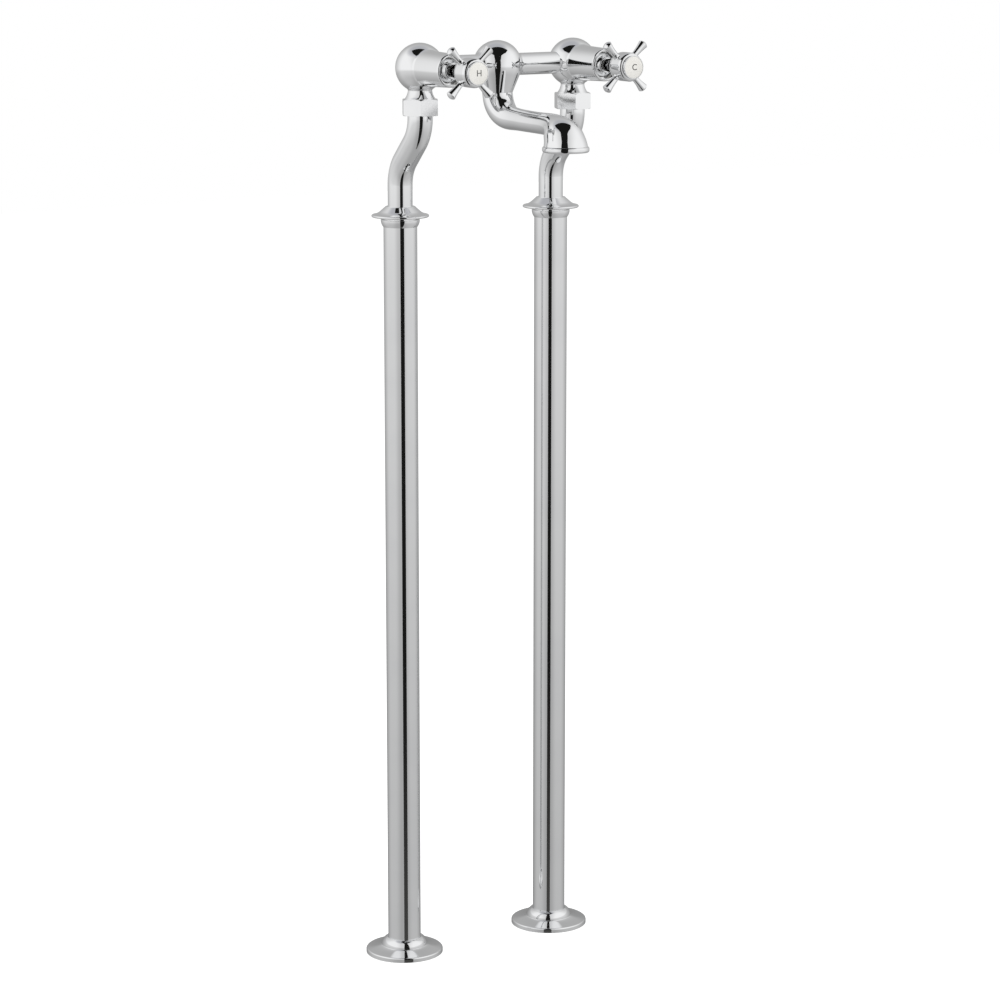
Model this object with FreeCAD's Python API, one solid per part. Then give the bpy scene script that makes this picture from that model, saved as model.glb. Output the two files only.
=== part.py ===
import FreeCAD, Part
import math
import os

from FreeCAD import Vector

os.makedirs("parts", exist_ok=True)

# Floor standing bath filler, sizes in millimetres.
# +X runs from the hot side to the cold side, -Y faces the user, +Z is up.
# The origin is on the finished floor, midway between the two stand pipes.

# Overall sizes
inlet_centres = 180.0      # between the two stand pipes
body_height = 922.0        # floor to the axis of the casting and its valves
body_offset = 40.0         # how far the cranked tubes bring the casting forward
spout_reach = 125.0        # casting axis to the middle of the outlet

# Clearances
press_gap = 0.02           # soldered and threaded joints
fit_gap = 0.05             # parts that are put together and stay
running_gap = 0.08         # parts that slide or turn on each other

# Floor fixing, hidden by the cover
plate_r = 36.5
plate_thickness = 3.0
screw_hole_r = 2.75
screw_pitch = 52.0         # between the two floor screws of a plate
spigot_top = 24.0
grub_r = 2.45
grub_height = 9.0
grub_key = 2.5
grub_sink = 0.4            # outer end below the pipe's surface

# Floor cover
cover_r = 40.0
cover_height = 16.6
cover_edge = 4.8
cover_boss_swell = 7.0     # the boss stands out from the pipe by this
cover_boss_foot = 8.0
cover_wall = 1.3
cover_bore_length = 3.8
cover_lip = 1.6            # width of the flat lip round the pipe

# Stand pipe
pipe_r = 17.0
pipe_wall = 1.5
pipe_drop = 153.0          # casting axis down to the top of the stand pipes
ferrule_swell = 2.6        # thickness of the ring round the top of the pipe
ferrule_height = 7.5
ferrule_straight = 1.8

# Bell shaped collar on top of the stand pipe
collar_r = 29.0
collar_top_swell = 2.2     # the top stands out from the cranked tube by this
collar_height = 13.0
collar_lip = 2.6
collar_lift = 2.2          # gap under the rim, above the stand pipe
collar_foot_inset = 0.4    # the foot is narrower than the pipe by this

# Supply inside the stand pipe
inlet_boss_r = 12.9
inlet_thread_r = 9.32      # G1/2 female, minor diameter
inlet_thread_length = 16.0
inlet_floor_gap = 1.0
inlet_shoulder = 4.0
inlet_top = 44.0
waterway_r = 8.0
riser_r = 11.0
riser_wall = 1.2
riser_bottom = 30.0
coupling_gap = 0.5          # round the coupling, inside the stand pipe
bush_length = 17.0
coupling_seat = 32.0       # top of the coupling down to the end of the riser
riser_seat = 16.0          # how far the riser goes into the coupling
coupling_stop = 6.0
oring_section_r = 1.0
oring_lifts = (4.5, 11.5)  # above the foot of the coupling

# Cranked tube
crank_r = 12.5
crank_wall = 1.5
crank_drop = 64.0          # casting axis down to where the upper run and the slope would meet
crank_bend_r = 36.0
tail_flange_swell = 2.1    # the flange stands out from the tube by this
tail_flange = 3.0

# Union between the cranked tube and the casting
nut_wall = 1.9             # thinnest metal between the thread and a flat
union_drop = 46.8          # casting axis down to the nut's foot
nut_height = 16.0
nut_web = 3.0
nut_chamfer = 1.6
nut_turns = {"hot": 0, "cold": 6}  # how each nut ended up when it was tightened
washer_thickness = 2.0
washer_bore_r = 9.5
union_thread_gap = 0.5     # round the tail flange, inside the thread

# Casting
ball_r = 24.4
neck_r = 12.0
neck_waist = 22.5          # ball centre down to the neck's narrowest point
neck_bore_r = 8.0
housing_rear_r = 18.2
housing_front_r = 16.4
housing_reach = 61.0       # ball centre to the front of the valve housing
housing_edge = 1.8
housing_fillet = 5.0
arm_r = 11.0
arm_bore_r = 7.5
arm_fillet = 7.0
arm_socket_bottom = 16.0   # from the side ball's centre to the end of the arm
arm_boss_depth = 6.5       # metal behind the arm's socket
arm_pocket_depth = 2.5     # relief behind the end of the arm
casting_wall = 4.0
cone_foot = 27.0           # ball centre down to the joint with the spout
cone_foot_r = 15.3
spout_spigot_r = 11.9
spout_spigot_length = 10.0

# Valve, measured along its axis from the ball's centre towards the user
recess_r = 14.0
recess_floor = 48.0
valve_bore_r = 10.45
seat_floor = 13.0
inlet_chamber_back = 8.0
outlet_chamber_r = 13.2
outlet_chamber = (17.0, 27.0)
passage_r = 3.6
passage_entry = 19.5       # where the passage leaves the chamber, along the valve
seal_thickness = 1.5
seal_bore_r = 6.2
disc_wall = 1.05           # thickness of the bush round the discs
disc_thickness = 3.5
port_r = 2.7
port_offset = 5.6
drive_slot = (2.9, 14.0, 1.2)
window_width = 7.0
window_length = 4.0
stem_r = 4.5
stem_flange_r = 8.6
stem_flange = (24.6, 26.9)
stem_oring_places = (33.5, 38.5)
flange_r = 13.0
flange_thickness = 3.0
sleeve_wall = 1.9
sleeve_end = 59.0
bonnet_r = 12.2
bonnet_front = 62.0
bonnet_step_r = 9.6
bonnet_nose_r = 7.6

# Crosshead, measured along the valve's axis
hub_rear = 64.0
hub_sleeve_wall = 2.0
hub_sleeve_end = 72.0
hub_r = 14.3
hub_swell = 91.0
hub_front = 106.2
hub_edge = 3.6
socket_start = 76.0
socket_r = 4.0
socket_flat = 3.0
screw_floor = 96.0
screw_head_r = 3.8
screw_head = 2.5
screw_r = 2.0
screw_length = 9.5
screw_slot = (3.6, 0.9, 1.2)
pocket_floor = 99.5
arms_at = 94.0
arms_count = 4
arm_span_r = 32.8
arm_root_r = 3.0
arm_tip_r = 4.8
arm_tip_start = 30.4
bezel_stem_r = 9.9
bezel_r = 11.6
index_inset = 0.9          # the porcelain is narrower than the bezel by this
bezel_back = 107.4
bezel_front = 109.8
bezel_bore_r = 8.6
index_seat = 107.9
index_edge = 109.6
index_crown = 110.9

# Spout
spout_axis_drop = 53.0     # casting axis down to the axis of the level stretch
spout_bend = 27.0          # length of the elbow under the cone
spout_fall = 1.5           # the level stretch drops by this after the elbow
spout_neck_r = 15.3
spout_tube_r = 10.5
spout_wall = 2.0
level_rows = ((0.31, 0.65, 1.03), (0.43, 0.3, 1.02), (0.62, 0.0, 1.0))  # shares of reach, fall and tube
bell_rows = ((27.0, 0.0, 0, 0.5), (18.1, 1.1, 30, 2.6), (7.9, 4.1, 55, 7.9))  # back, drop, dip, swell
bell_shoulder = (2.4, 12.3, 75, 1.6)  # back, drop, dip and how much narrower than the bell
outlet_drop = 78.0         # casting axis down to the rim of the outlet
outlet_rim_r = 23.0
outlet_rim_height = 5.6
outlet_bell_r = 21.6
outlet_mouth_r = 19.6
straightener_lift = 2.6    # rim of the outlet up to the straightener's skirt
skirt_height = 2.8
skirt_wall = 2.0
straightener_r = 14.5
straightener_height = 8.4
straightener_thickness = 3.0
straightener_hole_r = 1.7
straightener_rows = ((0.0, 1), (5.6, 6), (11.2, 12))

# Worked out from the sizes above
pipe_bore_r = pipe_r - pipe_wall
ferrule_r = pipe_r + ferrule_swell
cover_boss_r = pipe_r + cover_boss_swell
collar_foot_r = pipe_r - collar_foot_inset
spigot_r = pipe_bore_r - fit_gap
riser_bore_r = riser_r - riser_wall
crank_bore_r = crank_r - crank_wall
collar_top_r = crank_r + collar_top_swell
tail_flange_r = crank_r + tail_flange_swell
union_thread_r = tail_flange_r + union_thread_gap
nut_flats = 2 * (union_thread_r + nut_wall)
crank_high = body_height - crank_drop
crank_low = crank_high - body_offset
nut_bottom = body_height - union_drop
pipe_top = body_height - pipe_drop
coupling_r = pipe_bore_r - coupling_gap
coupling_top = pipe_top - bush_length
riser_top = coupling_top - coupling_seat
coupling_bottom = riser_top - riser_seat
coupling_oring_heights = [coupling_bottom + lift for lift in oring_lifts]
web_top = nut_bottom + nut_web
nut_top = nut_bottom + nut_height
tail_bottom = web_top + tail_flange + washer_thickness
collar_bottom = pipe_top
disc_r = valve_bore_r - disc_wall
sleeve_r = stem_r + sleeve_wall
hub_sleeve_r = stem_r + hub_sleeve_wall
disc_face = seat_floor + seal_thickness
moving_face = disc_face + disc_thickness
discs_end = moving_face + disc_thickness
spout_joint = body_height - cone_foot
spout_axis = body_height - spout_axis_drop
rim_bottom = body_height - outlet_drop
index_r = bezel_r - index_inset
sides = (("hot", -1), ("cold", 1))


def save(name, shape):
    solids = shape.Solids
    whole = solids[0] if len(solids) == 1 else Part.makeCompound(solids)
    whole.exportStep("parts/" + name + ".step")
    print(name, len(solids), round(whole.Volume / 1000, 2), "cm3", whole.isValid())


def outline(points):
    """Edges in the XZ plane. A pair is a line's end; four numbers are an arc's middle and its end."""
    edges = []
    start = points[0][-2:]
    for step in list(points[1:]) + [points[0][-2:]]:
        end = step[-2:]
        a = Vector(start[0], 0, start[1])
        b = Vector(end[0], 0, end[1])
        if len(step) == 4:
            middle = Vector(step[0], 0, step[1])
            edges.append(Part.Arc(a, middle, b).toShape())
        elif (b - a).Length > 1e-6:
            edges.append(Part.makeLine(a, b))
        start = end
    return edges


def turned(points):
    """A solid of revolution about Z from an outline of (radius, height)."""
    face = Part.Face(Part.Wire(outline(points)))
    return face.revolve(Vector(0, 0, 0), Vector(0, 0, 1), 360)


def dome(rim_r, rim, crown):
    """The arc step from a rim up to a crown on the axis, centred on the axis."""
    rise = crown - rim
    dome_r = (rim_r**2 + rise**2) / (2 * rise)
    half = 0.5 * math.atan2(rim_r, rim - crown + dome_r)
    return (dome_r * math.sin(half), crown - dome_r * (1 - math.cos(half)), 0, crown)


def ring(outer, inner, low, high):
    return turned([(inner, low), (outer, low), (outer, high), (inner, high)])


def rod(radius, start, end):
    axis = Vector(*end) - Vector(*start)
    return Part.makeCylinder(radius, axis.Length, Vector(*start), axis)


def oring(ring_r, height):
    return Part.makeTorus(ring_r, oring_section_r, Vector(0, 0, height))


def prism(flats, low, high):
    """A hexagonal prism with two corners on the X axis."""
    corner = flats / 2 / math.cos(math.pi / 6)
    points = []
    for i in range(7):
        turn = math.radians(60 * i)
        points.append(Vector(corner * math.cos(turn), corner * math.sin(turn), low))
    face = Part.Face(Part.makePolygon(points))
    return face.extrude(Vector(0, 0, high - low))


def rounded(shape, radius, wanted):
    """Fillets the edges that the test picks."""
    edges = [edge for edge in shape.Edges if wanted(edge)]
    return shape.makeFillet(radius, edges)


def to_pipe(shape, side):
    """Moves a shape from the Z axis onto the axis of a side's stand pipe."""
    moved = shape.copy()
    moved.translate(Vector(side * inlet_centres / 2, 0, 0))
    return moved


def to_tail(shape, side):
    """Moves a shape from the Z axis onto the upright axis under a side ball."""
    moved = shape.copy()
    moved.translate(Vector(side * inlet_centres / 2, -body_offset, 0))
    return moved


def to_valve(shape, side):
    """Lays a shape from the Z axis along a valve's axis, with Z pointing at the user."""
    moved = shape.copy()
    moved.rotate(Vector(0, 0, 0), Vector(1, 0, 0), 90)
    moved.translate(Vector(side * inlet_centres / 2, -body_offset, body_height))
    return moved


def floor_plate():
    bore = inlet_boss_r + fit_gap
    plate = turned([
        (bore, 0),
        (plate_r, 0),
        (plate_r, plate_thickness),
        (spigot_r, plate_thickness),
        (spigot_r, spigot_top),
        (bore, spigot_top),
    ])
    for end in (-1, 1):
        y = end * screw_pitch / 2
        plate = plate.cut(rod(screw_hole_r, (0, y, -1), (0, y, plate_thickness + 1)))
    return plate.cut(grub_hole())


def grub_hole():
    return rod(grub_r + fit_gap, (0, inlet_boss_r - 1, grub_height), (0, pipe_r + 1, grub_height))


def grub_screw():
    start = inlet_boss_r + 4 * fit_gap
    end = pipe_r - grub_sink
    screw = rod(grub_r, (0, start, grub_height), (0, end, grub_height))
    key = prism(grub_key, 0, grub_r)
    key.rotate(Vector(0, 0, 0), Vector(1, 0, 0), -90)
    key.translate(Vector(0, end - 0.6 * grub_r, grub_height))
    return screw.cut(key)


def floor_cover():
    bore = pipe_r + running_gap
    edge_top = cover_edge
    inner_edge = cover_r - cover_wall - 0.4
    slope_mid = (0.5 * (cover_r + cover_boss_r), edge_top + 0.28 * (cover_boss_foot - edge_top))
    boss_top_r = pipe_r + cover_lip
    boss_mid = (cover_boss_r - 1.75, 0.5 * (cover_boss_foot + cover_height) + 0.7)
    return turned([
        (inner_edge, 0),
        (cover_r, 0),
        (cover_r, edge_top - 1.8),
        (cover_r - 0.55, edge_top - 0.5, cover_r - 1.9, edge_top),
        (slope_mid[0], slope_mid[1], cover_boss_r + 0.6, cover_boss_foot),
        (cover_boss_r, cover_boss_foot + 0.6),
        (boss_mid[0], boss_mid[1], boss_top_r, cover_height),
        (bore, cover_height),
        (bore, cover_height - cover_bore_length),
        (cover_boss_r - 4.2, cover_height - cover_bore_length),
        (cover_boss_r - cover_wall, cover_boss_foot),
        (slope_mid[0], slope_mid[1] - cover_wall),
        (inner_edge, edge_top - cover_wall - 0.5),
    ])


def stand_pipe():
    return ring(pipe_r, pipe_bore_r, plate_thickness, pipe_top).cut(grub_hole())


def pipe_ferrule():
    inner = pipe_r + press_gap
    low = pipe_top - ferrule_height
    straight = pipe_top - ferrule_straight
    middle = (0.5 * (inner + ferrule_r) + 0.45, 0.5 * (low + straight) - 0.35)
    return turned([
        (inner, low),
        (inner + 0.4, low),
        (middle[0], middle[1], ferrule_r, straight),
        (ferrule_r, pipe_top - 0.4),
        (ferrule_r - 0.4, pipe_top),
        (inner, pipe_top),
    ])


def pipe_bush():
    return ring(spigot_r, crank_r + fit_gap, coupling_top, pipe_top)


def pipe_collar():
    bore = crank_r + running_gap
    low = collar_bottom + collar_lift
    top = collar_bottom + collar_height
    lip_top = low + collar_lip
    shoulder_r = 0.7 * collar_r
    shoulder = top - 0.6 * (top - lip_top)
    flare_mid_r = 0.5 * (shoulder_r + collar_r) - 0.3
    return turned([
        (bore, collar_bottom),
        (collar_foot_r, collar_bottom),
        (collar_foot_r, low),
        (collar_r - 0.5 * collar_lip, low),
        (collar_r, low + 0.5 * collar_lip, collar_r - 0.5 * collar_lip, lip_top),
        (flare_mid_r, lip_top + 0.9, shoulder_r, shoulder),
        (collar_top_r + 0.5, top - 0.4),
        (collar_top_r + 0.2, top - 0.08, collar_top_r - 0.3, top),
        (bore, top),
    ])


def inlet_fitting():
    return turned([
        (inlet_thread_r, inlet_floor_gap),
        (inlet_boss_r, inlet_floor_gap),
        (inlet_boss_r, spigot_top),
        (spigot_r - 0.6, spigot_top),
        (spigot_r - 0.6, spigot_top + inlet_shoulder),
        (inlet_boss_r, spigot_top + inlet_shoulder),
        (inlet_boss_r, inlet_top),
        (riser_r + press_gap, inlet_top),
        (riser_r + press_gap, riser_bottom),
        (waterway_r, riser_bottom),
        (waterway_r, inlet_floor_gap + inlet_thread_length),
        (inlet_thread_r, inlet_floor_gap + inlet_thread_length),
    ])


def riser_tube():
    return ring(riser_r, riser_bore_r, riser_bottom, riser_top)


def riser_coupling():
    crank_seat = riser_top + coupling_stop
    groove_r = coupling_r - 1.6 * oring_section_r
    shape = turned([
        (riser_r + press_gap, coupling_bottom),
        (coupling_r, coupling_bottom),
        (coupling_r, coupling_top),
        (crank_r + press_gap, coupling_top),
        (crank_r + press_gap, crank_seat),
        (riser_bore_r, crank_seat),
        (riser_bore_r, riser_top),
        (riser_r + press_gap, riser_top),
    ])
    for height in coupling_oring_heights:
        half = 1.15 * oring_section_r
        shape = shape.cut(ring(coupling_r + 1, groove_r, height - half, height + half))
    return shape


def coupling_orings():
    centre_r = spigot_r - oring_section_r
    return [oring(centre_r, height) for height in coupling_oring_heights]


def crank_path(overrun):
    """The tube's centre line: two upright runs joined by a 45 degree slope with round bends."""
    tangent = crank_bend_r * math.tan(math.radians(22.5))
    slant = tangent * math.sqrt(0.5)
    low = riser_top + coupling_stop - overrun
    high = web_top + tail_flange + overrun

    def at(forward, height):
        return Vector(0, -forward, height)

    def bend(start, corner, end, centre):
        towards = (corner - centre).normalize() * crank_bend_r
        return Part.Arc(start, centre + towards, end).toShape()

    a = at(0, crank_low - tangent)
    b = at(slant, crank_low + slant)
    c = at(body_offset - slant, crank_high - slant)
    d = at(body_offset, crank_high + tangent)
    return Part.Wire([
        Part.makeLine(at(0, low), a),
        bend(a, at(0, crank_low), b, at(crank_bend_r, crank_low - tangent)),
        Part.makeLine(b, c),
        bend(c, at(body_offset, crank_high), d, at(body_offset - crank_bend_r, crank_high + tangent)),
        Part.makeLine(d, at(body_offset, high)),
    ])


def swept_tube(radius, overrun):
    path = crank_path(overrun)
    start = path.Vertexes[0].Point
    section = Part.Wire(Part.makeCircle(radius, start, Vector(0, 0, 1)))
    return path.makePipeShell([section], True, False)


def crank_tube():
    flange = ring(tail_flange_r, crank_bore_r + 0.5, web_top, web_top + tail_flange)
    flange.translate(Vector(0, -body_offset, 0))
    return swept_tube(crank_r, 0).fuse(flange).cut(swept_tube(crank_bore_r, 2)).removeSplitter()


def union_nut(turn):
    corner = nut_flats / 2 / math.cos(math.pi / 6)
    fall = nut_chamfer * 0.55
    blank = turned([
        (0, nut_bottom),
        (corner - nut_chamfer, nut_bottom),
        (corner + 0.1, nut_bottom + fall),
        (corner + 0.1, nut_top - fall),
        (corner - nut_chamfer, nut_top),
        (0, nut_top),
    ])
    nut = prism(nut_flats, nut_bottom, nut_top).common(blank)
    nut = nut.cut(rod(crank_r + 2 * fit_gap, (0, 0, nut_bottom - 1), (0, 0, nut_top)))
    nut = nut.cut(rod(union_thread_r + fit_gap, (0, 0, web_top), (0, 0, nut_top + 1)))
    nut.rotate(Vector(0, 0, 0), Vector(0, 0, 1), turn)
    return nut


def union_washer():
    low = web_top + tail_flange
    return ring(tail_flange_r, washer_bore_r, low, low + washer_thickness)


def on_ball(edge, ball, axis):
    """True for an edge that runs round the axis on the surface of a ball."""
    if edge.Degenerated:
        return False
    points = edge.discretize(6)
    along = [(point - ball).dot(axis) for point in points]
    away = [abs((point - ball).Length - ball_r) for point in points]
    return max(away) < 0.01 and max(along) - min(along) < 0.01 and min(along) > 1


def neck_blend():
    """Where a round blend leaves the neck at its waist and meets the ball, in the ball's own frame."""
    blend = (neck_r**2 + neck_waist**2 - ball_r**2) / (2 * (ball_r - neck_r))
    centre = Vector(neck_r + blend, 0, -neck_waist)
    to_ball = Vector(centre)
    to_ball.multiply(-1 / centre.Length)
    to_neck = Vector(-1, 0, 0)
    half_way = (to_ball + to_neck).normalize()
    return centre + half_way * blend, centre + to_ball * blend


def valve_body(side):
    """Side casting: ball, neck with the union thread, and the valve housing."""
    centre = Vector(0, -body_offset, body_height)
    flare_foot = nut_top + 0.6
    waist = body_height - neck_waist
    blend_mid, blend_end = neck_blend()
    flare_mid_r = neck_r + 0.3 * (union_thread_r - neck_r)
    half = math.sqrt(0.5) * ball_r
    casting = turned([
        (0, tail_bottom),
        (union_thread_r - 0.5, tail_bottom),
        (union_thread_r, tail_bottom + 0.5),
        (union_thread_r, flare_foot),
        (flare_mid_r, 0.5 * (flare_foot + waist), neck_r, waist),
        (blend_mid.x, body_height + blend_mid.z, blend_end.x, body_height + blend_end.z),
        (half, body_height + half, 0, body_height + ball_r),
    ])
    casting.translate(Vector(0, -body_offset, 0))
    housing = turned([
        (0, 0),
        (housing_rear_r, 0),
        (housing_front_r, housing_reach - housing_edge),
        (housing_front_r - 0.3 * housing_edge, housing_reach - 0.3 * housing_edge,
         housing_front_r - 0.9 * housing_edge, housing_reach),
        (0, housing_reach),
    ])
    body = casting.fuse(to_valve(housing, 0)).removeSplitter()
    body = rounded(body, housing_fillet, lambda edge: on_ball(edge, centre, Vector(0, -1, 0)))

    inside = [
        rod(neck_bore_r, (0, -body_offset, tail_bottom - 1), (0, -body_offset, body_height)),
        to_valve(rod(arm_bore_r, (0, 0, -inlet_chamber_back), (0, 0, seat_floor + 1)), 0),
        to_valve(rod(valve_bore_r, (0, 0, seat_floor), (0, 0, recess_floor + 1)), 0),
        to_valve(rod(recess_r, (0, 0, recess_floor), (0, 0, housing_reach + 1)), 0),
        to_valve(rod(outlet_chamber_r, (0, 0, outlet_chamber[0]), (0, 0, outlet_chamber[1])), 0),
        arm_socket(side),
        outlet_passage(side),
    ]
    for tool in inside:
        body = body.cut(tool)
    body = body.cut(ball_cavity(centre, side))
    body.translate(Vector(side * inlet_centres / 2, 0, 0))
    return body


def ball_cavity(centre, side):
    """The hollow behind the seat, less the boss that holds the arm."""
    cavity = Part.makeSphere(ball_r - casting_wall, centre)
    seat_wall = to_valve(rod(ball_r, (0, 0, seat_floor - casting_wall), (0, 0, ball_r + 1)), 0)
    boss_start = (-side * (arm_socket_bottom - arm_boss_depth), -body_offset, body_height)
    boss_end = (-side * (ball_r + 2), -body_offset, body_height)
    return cavity.cut(seat_wall).cut(rod(arm_r + casting_wall, boss_start, boss_end))


def arm_socket(side):
    """The socket for the casting's arm, on the side that faces the middle."""
    start = (-side * arm_socket_bottom, -body_offset, body_height)
    end = (-side * (ball_r + 2), -body_offset, body_height)
    pocket = (-side * (arm_socket_bottom - arm_pocket_depth), -body_offset, body_height)
    return rod(arm_r + fit_gap, start, end).fuse(rod(arm_bore_r, pocket, end))


def outlet_passage(side):
    """A slanting hole from the chamber round the valve to the arm's bore."""
    near_arm = (-side * (arm_socket_bottom + 1), -body_offset + 1, body_height)
    near_valve = (-side * (outlet_chamber_r - 1.7), -body_offset - passage_entry, body_height)
    return rod(passage_r, near_arm, near_valve)


def filler_body():
    """Middle casting: ball, two arms and the cone that carries the spout."""
    centre = Vector(0, -body_offset, body_height)
    lean = math.atan2(cone_foot, cone_foot_r)
    reach = math.hypot(cone_foot, cone_foot_r)
    touch = lean - math.acos(ball_r / reach)
    tangent = (ball_r * math.cos(touch), body_height - ball_r * math.sin(touch))
    pear = turned([
        (0, spout_joint),
        (cone_foot_r, spout_joint),
        tangent,
        (ball_r * math.cos(math.pi / 4), body_height + ball_r * math.sin(math.pi / 4),
         0, body_height + ball_r),
    ])
    pear.translate(Vector(0, -body_offset, 0))
    half = inlet_centres / 2 - arm_socket_bottom - press_gap
    arms = rod(arm_r, (-half, -body_offset, body_height), (half, -body_offset, body_height))
    body = pear.fuse(arms).removeSplitter()

    def at_arm_root(edge):
        """True for an edge where an arm leaves the ball or the cone."""
        if edge.Degenerated:
            return False
        points = edge.discretize(6)
        from_axis = [math.hypot(p.y + body_offset, p.z - body_height) for p in points]
        across = [abs(p.x) for p in points]
        round_arm = max(abs(r - arm_r) for r in from_axis) < 0.01
        return round_arm and max(across) < ball_r + 1 and max(across) - min(across) < 5

    body = rounded(body, arm_fillet, at_arm_root)
    bore = rod(arm_bore_r, (-half - 1, -body_offset, body_height), (half + 1, -body_offset, body_height))
    socket_top = spout_joint + spout_spigot_length
    socket = rod(spout_spigot_r + fit_gap, (0, -body_offset, spout_joint - 1), (0, -body_offset, socket_top))
    down = rod(neck_bore_r + 1, (0, -body_offset, socket_top - 1), (0, -body_offset, body_height))
    cavity = Part.makeSphere(ball_r - casting_wall, centre)
    return body.cut(bore).cut(socket).cut(down).cut(cavity)


def seat_seal():
    return ring(valve_bore_r - 0.15, seal_bore_r, seat_floor, disc_face)


def ported_disc(radius, low, across):
    disc = ring(radius, 1.2, low, low + disc_thickness)
    for end in (-1, 1):
        x = end * port_offset * (1 - across)
        y = end * port_offset * across
        disc = disc.cut(rod(port_r, (x, y, low - 1), (x, y, low + disc_thickness + 1)))
    return disc


def moving_disc():
    disc = ported_disc(disc_r - 0.2, moving_face, 1)
    width, length, depth = drive_slot
    slot = Part.makeBox(length, width, depth + 1, Vector(-length / 2, -width / 2, discs_end - depth))
    return disc.cut(slot)


def cartridge_body():
    """Brass bush that screws into the housing, holds the discs and guides the spindle."""
    outer = valve_bore_r - fit_gap
    bore = stem_r + running_gap
    shape = turned([
        (disc_r + fit_gap, disc_face),
        (outer, disc_face),
        (outer, recess_floor),
        (flange_r, recess_floor),
        (flange_r, recess_floor + flange_thickness),
        (sleeve_r, recess_floor + flange_thickness),
        (sleeve_r, sleeve_end),
        (bore, sleeve_end),
        (bore, stem_flange[1] + 0.1),
        (disc_r + fit_gap, stem_flange[1] + 0.1),
    ])
    low = discs_end + 1
    for turn in (0, 90):
        window = Part.makeBox(4 * disc_r, window_width, window_length,
                              Vector(-2 * disc_r, -window_width / 2, low))
        window.rotate(Vector(0, 0, 0), Vector(0, 0, 1), turn)
        shape = shape.cut(window)
    return shape


def spindle():
    width, length, depth = drive_slot
    groove_r = stem_r - 1.1 * oring_section_r
    end = screw_floor - 0.5
    shape = rod(stem_r, (0, 0, stem_flange[0]), (0, 0, socket_start))
    shape = shape.fuse(rod(stem_flange_r, (0, 0, stem_flange[0]), (0, 0, stem_flange[1])))
    tongue = Part.makeBox(length - 0.4, width - 0.2, stem_flange[0] - discs_end + depth,
                          Vector(0.2 - length / 2, 0.1 - width / 2, discs_end - depth + 0.05))
    shape = shape.fuse(tongue.common(rod(stem_flange_r, (0, 0, 0), (0, 0, stem_flange[1]))))
    shape = shape.fuse(flatted(socket_r, socket_flat, socket_start - 0.5, end)).removeSplitter()
    for place in stem_oring_places:
        half = 0.7 * oring_section_r
        shape = shape.cut(ring(stem_r + 1, groove_r, place - half, place + half))
    return shape.cut(rod(screw_r, (0, 0, end - screw_length - 1), (0, 0, end + 1)))


def flatted(radius, flat, low, high):
    """A round bar with one flat, which keys the crosshead to the spindle."""
    bar = rod(radius, (0, 0, low), (0, 0, high))
    cutter = Part.makeBox(4 * radius, radius, high - low + 2, Vector(-2 * radius, flat, low - 1))
    return bar.cut(cutter)


def stem_orings():
    section = 0.55 * oring_section_r
    centre = stem_r + running_gap - section - 0.01
    return [Part.makeTorus(centre, section, Vector(0, 0, place)) for place in stem_oring_places]


def valve_bonnet():
    low = recess_floor + flange_thickness
    rise = bonnet_front - low
    step = low + 0.55 * rise
    return turned([
        (sleeve_r + fit_gap, low),
        (bonnet_r, low),
        (bonnet_r, low + 0.18 * rise),
        (bonnet_r - 0.5, low + 0.4 * rise, bonnet_step_r, step),
        (bonnet_step_r, step + 0.1 * rise),
        (bonnet_nose_r + 0.6, step + 0.22 * rise),
        (bonnet_nose_r, step + 0.3 * rise),
        (bonnet_nose_r, bonnet_front - 0.7),
        (bonnet_nose_r - 0.2, bonnet_front - 0.2, bonnet_nose_r - 0.7, bonnet_front),
        (stem_r + 0.4, bonnet_front),
        (stem_r + 0.4, sleeve_end + 0.3),
        (sleeve_r + fit_gap, sleeve_end + 0.3),
    ])


def crosshead():
    """Hub with a rear sleeve, a drum and four flared arms."""
    swell_r = 0.5 * (hub_sleeve_r + hub_r)
    swell = 0.5 * (hub_sleeve_end + hub_swell)
    hub = turned([
        (0, hub_rear),
        (hub_sleeve_r - 0.6, hub_rear),
        (hub_sleeve_r - 0.2, hub_rear + 0.2, hub_sleeve_r, hub_rear + 0.6),
        (hub_sleeve_r, hub_sleeve_end),
        (hub_sleeve_r + 0.9, 0.5 * (hub_sleeve_end + swell) + 0.6, swell_r, swell),
        (hub_r - 1.1, 0.5 * (swell + hub_swell) - 0.4, hub_r, hub_swell),
        (hub_r, hub_front - hub_edge),
        (hub_r - 0.3 * hub_edge, hub_front - 0.3 * hub_edge, hub_r - hub_edge, hub_front),
        (0, hub_front),
    ])
    for i in range(arms_count):
        hub = hub.fuse(crosshead_arm((i + 0.5) * 360 / arms_count))
    hub = hub.removeSplitter()
    hub = hub.cut(rod(stem_r + fit_gap, (0, 0, hub_rear - 1), (0, 0, socket_start)))
    hub = hub.cut(flatted(socket_r + fit_gap, socket_flat + fit_gap, socket_start - 1, screw_floor + 1))
    hub = hub.cut(rod(screw_head_r + 0.4, (0, 0, screw_floor), (0, 0, pocket_floor + 1)))
    return hub.cut(rod(bezel_stem_r + fit_gap, (0, 0, pocket_floor), (0, 0, hub_front + 1)))


def crosshead_arm(turn):
    root = bezel_stem_r + 1.5
    arm = turned([
        (0, root),
        (arm_root_r, root),
        (arm_root_r, hub_r + 1),
        (arm_root_r + 0.35, 0.55 * hub_r + 0.45 * arm_tip_start, arm_tip_r, arm_tip_start),
        dome(arm_tip_r, arm_tip_start, arm_span_r),
    ])
    arm.rotate(Vector(0, 0, 0), Vector(0, 1, 0), 90)
    arm.translate(Vector(0, 0, arms_at))
    arm.rotate(Vector(0, 0, 0), Vector(0, 0, 1), turn)
    return arm


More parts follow.
